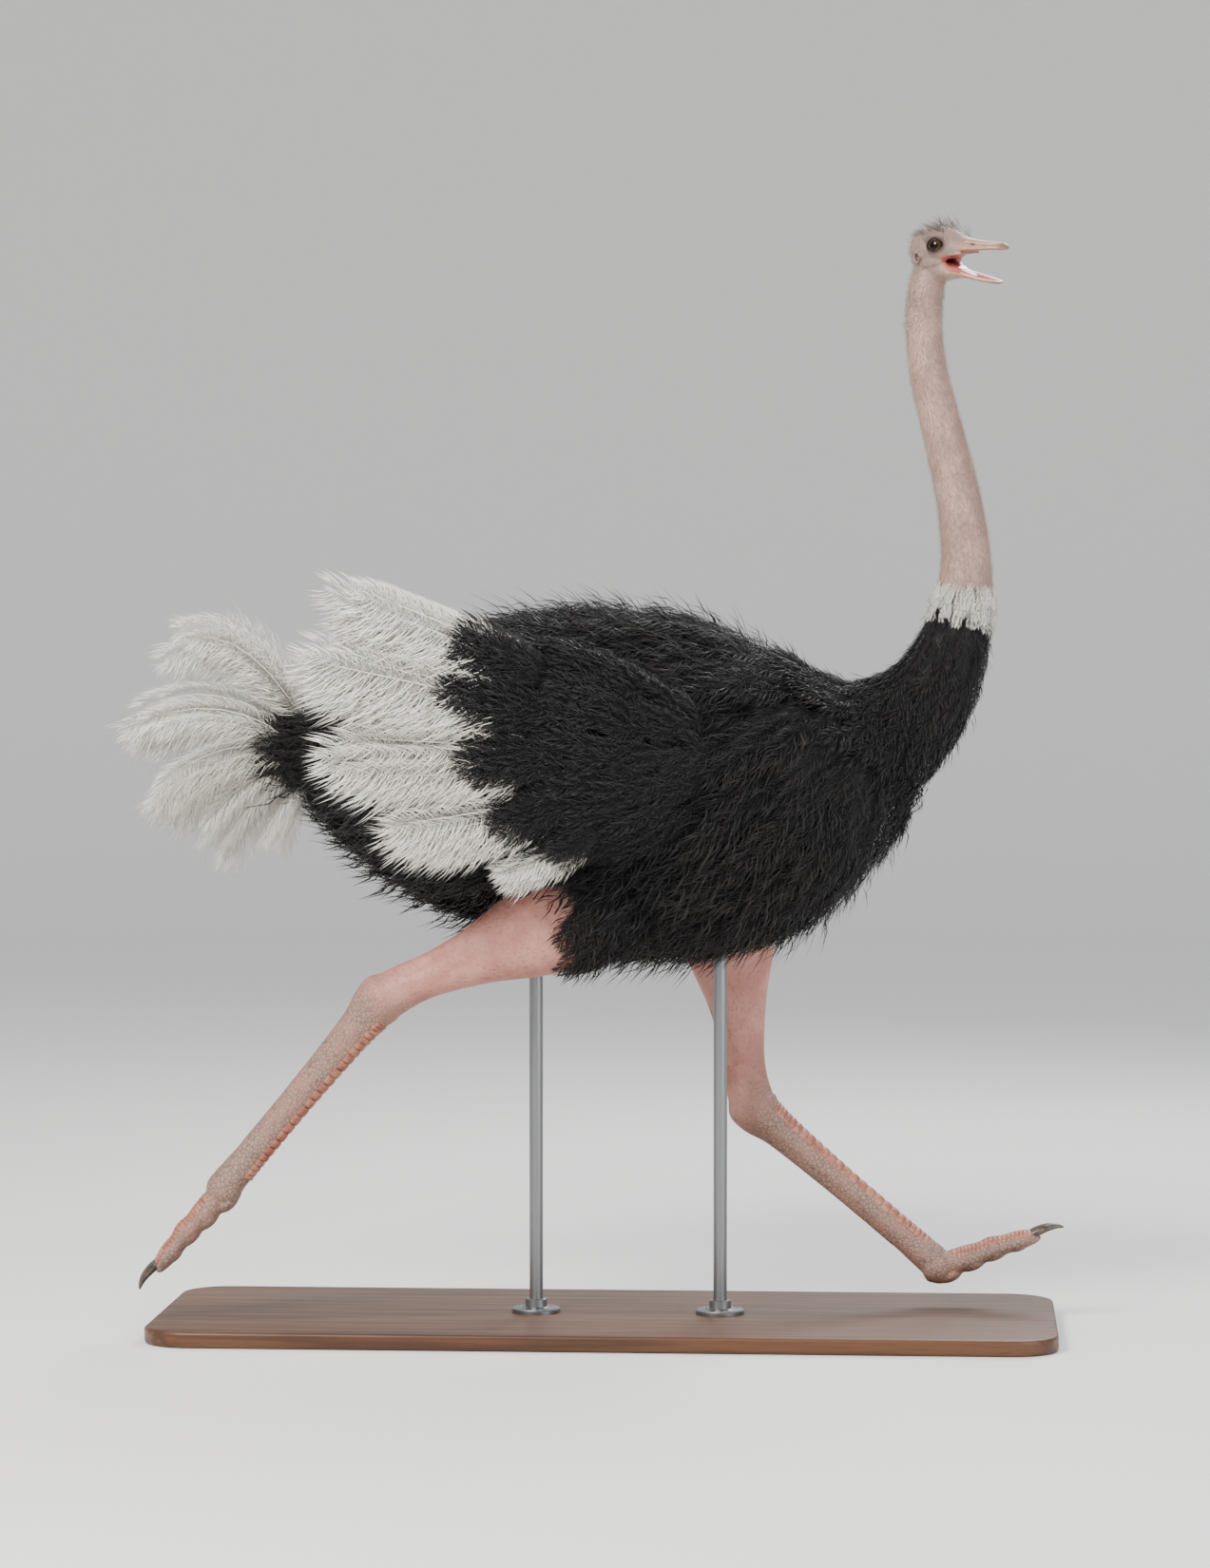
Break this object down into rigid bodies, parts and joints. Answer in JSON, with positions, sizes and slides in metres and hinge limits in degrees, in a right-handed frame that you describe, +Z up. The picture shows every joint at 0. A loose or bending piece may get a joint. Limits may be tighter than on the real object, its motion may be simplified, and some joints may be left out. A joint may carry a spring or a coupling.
{
  "type": "ostrich",
  "caption": "Life-size adult male ostrich at a full run, wings half open and bill ajar, as a still museum model held by two rods on a flat base.",
  "frame": {"origin": "centre of the base's underside", "axes": "+Z up, +X the way the bird runs, +Y the bird's left side"},
  "size_m": [1.8229, 0.9016, 2.0818],
  "materials": {
    "skin": "bare, finely wrinkled, matte",
    "down": "short bristly down over skin",
    "black_plumage": "loose glossy-edged black feathers",
    "white_plumage": "loose soft white plumes",
    "horn": "satin horn",
    "claw": "satin dark horn",
    "eye": "wet gloss",
    "mouth": "moist",
    "rod_steel": "brushed",
    "base_wood": "satin varnish"
  },
  "bodies": {
    "root": {"head": "down", "ear_left": "skin", "ear_right": "skin", "neck_middle": "skin", "neck_upper": "skin", "neck_lower": "black_plumage", "trunk": "black_plumage", "tail_stub": "black_plumage", "bill_upper": "horn", "bill_lower": "horn", "tongue": "mouth", "eye_left": "eye", "eye_right": "eye", "leg_left_thigh": "skin", "leg_left_shank": "skin", "leg_left_hock": "skin", "leg_left_tarsus": "skin", "leg_left_knuckle": "skin", "leg_left_toe_inner": "skin", "leg_left_toe_outer": "skin", "leg_left_claw_inner": "claw", "leg_left_claw_outer": "claw", "wing_left_upper_arm": "black_plumage", "wing_left_forearm": "black_plumage", "wing_left_hand": "black_plumage", "wing_left_plume_1": "white_plumage", "wing_left_plume_2": "white_plumage", "wing_left_plume_3": "white_plumage", "wing_left_plume_4": "white_plumage", "wing_left_plume_5": "white_plumage", "leg_right_thigh": "skin", "leg_right_shank": "skin", "leg_right_hock": "skin", "leg_right_tarsus": "skin", "leg_right_knuckle": "skin", "leg_right_toe_inner": "skin", "leg_right_toe_outer": "skin", "leg_right_claw_inner": "claw", "leg_right_claw_outer": "claw", "wing_right_upper_arm": "black_plumage", "wing_right_forearm": "black_plumage", "wing_right_hand": "black_plumage", "wing_right_plume_1": "white_plumage", "wing_right_plume_2": "white_plumage", "wing_right_plume_3": "white_plumage", "wing_right_plume_4": "white_plumage", "wing_right_plume_5": "white_plumage", "tail_plume_1": "white_plumage", "tail_plume_2": "white_plumage", "tail_plume_3": "white_plumage", "tail_plume_4": "white_plumage", "tail_plume_5": "white_plumage", "stand_base": "base_wood", "stand_rod_front": "rod_steel", "stand_rod_rear": "rod_steel", "stand_flange_front": "rod_steel", "stand_flange_rear": "rod_steel"}
  },
  "joints": []
}
